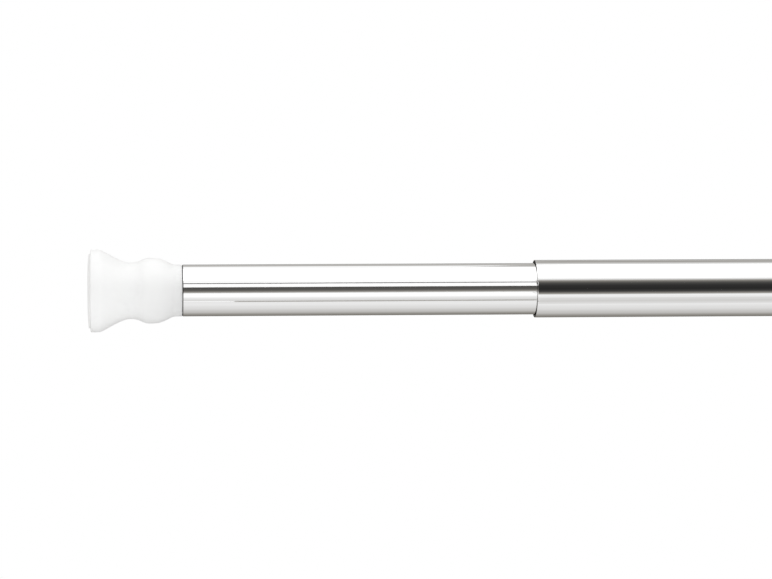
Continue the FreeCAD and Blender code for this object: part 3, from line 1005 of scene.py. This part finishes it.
def lamp(name, place, target, size, radiance):
    """A soft rectangular lamp of that radiance."""
    data = bpy.data.lights.new(name, "AREA")
    data.shape = "RECTANGLE"
    data.size, data.size_y = size
    data.energy = radiance * math.pi * size[0] * size[1]
    holder = bpy.data.objects.new(name, data)
    holder.location = place
    holder.rotation_euler = (Vector(target) - Vector(place)).to_track_quat("-Z", "Y").to_euler()
    bpy.context.scene.collection.objects.link(holder)
    return holder


def studio_lamps(stage, middle):
    """A long softbox over the rod, and a small fill at the left foot."""
    softbox_y, softbox_height = -0.25, 1.1
    softbox_size, fill_size = (2.6, 1.5), (0.06, 0.06)
    fill_place = (LEFT_FOOT_LOW.x + 0.02, -0.22, -0.14)
    flange_front = (LEFT_FOOT_LOW.x + 0.003, -0.01, -0.012)
    above, below = (middle, softbox_y, softbox_height), (middle, softbox_y, 0)
    lamp("overhead_softbox", above, below, softbox_size, stage.softbox_level)
    fill = lamp("foot_fill", fill_place, flange_front, fill_size, stage.fill_level)
    fill.data.spread = stage.fill_spread
    fill.visible_glossy = False


def photo_camera(stage):
    """The camera stands square to the left foot and turns to the right."""
    data = bpy.data.cameras.new("photo_camera")
    camera = bpy.data.objects.new("photo_camera", data)
    bpy.context.scene.collection.objects.link(camera)
    here = INNER_LOW.x - stage.stand
    reach = stage.distance / math.cos(stage.swing)
    target = Vector((here + stage.distance * math.tan(stage.swing), 0, 0))
    camera.location = (here, -stage.distance, reach * math.tan(stage.elevation))
    camera.rotation_euler = (target - camera.location).to_track_quat("-Z", "Y").to_euler()
    data.sensor_width = 36.0
    data.lens = stage.focal_length
    bpy.context.scene.camera = camera


class ROD_OT_stage(bpy.types.Operator):
    """Sets up the white room, the floor, the cards, the lamps and the camera"""

    bl_idname = "rod.make_stage"
    bl_label = "Studio"

    def execute(self, context):
        stage = context.scene.rod_stage
        middle = (CAD_BOX[0].x + CAD_BOX[1].x) / 2
        context.scene.view_settings.view_transform = "Standard"
        white_room(stage)
        white_floor(stage, middle)
        studio_cards(stage, middle)
        studio_lamps(stage, middle)
        photo_camera(stage)
        return {"FINISHED"}


OPERATORS = (ROD_OT_tubes, ROD_OT_feet, ROD_OT_spring, ROD_OT_lock, ROD_OT_bushes, ROD_OT_stage)


class ROD_PT_panel(bpy.types.Panel):
    """Lists the rod's settings and the operators that make it"""

    bl_idname = "ROD_PT_panel"
    bl_label = "Spring tension rod"
    bl_space_type = "VIEW_3D"
    bl_region_type = "UI"
    bl_category = "Rod"

    def draw(self, context):
        for operator in OPERATORS:
            self.layout.operator(operator.bl_idname)
        for name, group in SETTINGS.items():
            box = self.layout.box()
            box.label(text=group.__doc__)
            for key in group.__annotations__:
                box.prop(getattr(context.scene, name), key)


CLASSES = (*SETTINGS.values(), *OPERATORS, ROD_PT_panel)


def register():
    """Adds the classes, and the settings to the scene."""
    for item in CLASSES:
        bpy.utils.register_class(item)
    for name, group in SETTINGS.items():
        setattr(bpy.types.Scene, name, PointerProperty(type=group))


def unregister():
    """Takes them away again."""
    for name in SETTINGS:
        delattr(bpy.types.Scene, name)
    for item in reversed(CLASSES):
        bpy.utils.unregister_class(item)


def main():
    """Makes the whole scene in order."""
    register()
    bpy.ops.rod.make_tubes()
    bpy.ops.rod.make_feet()
    bpy.ops.rod.make_spring()
    bpy.ops.rod.make_lock()
    bpy.ops.rod.finish_bushes()
    bpy.ops.rod.make_stage()


if __name__ == "__main__":
    main()
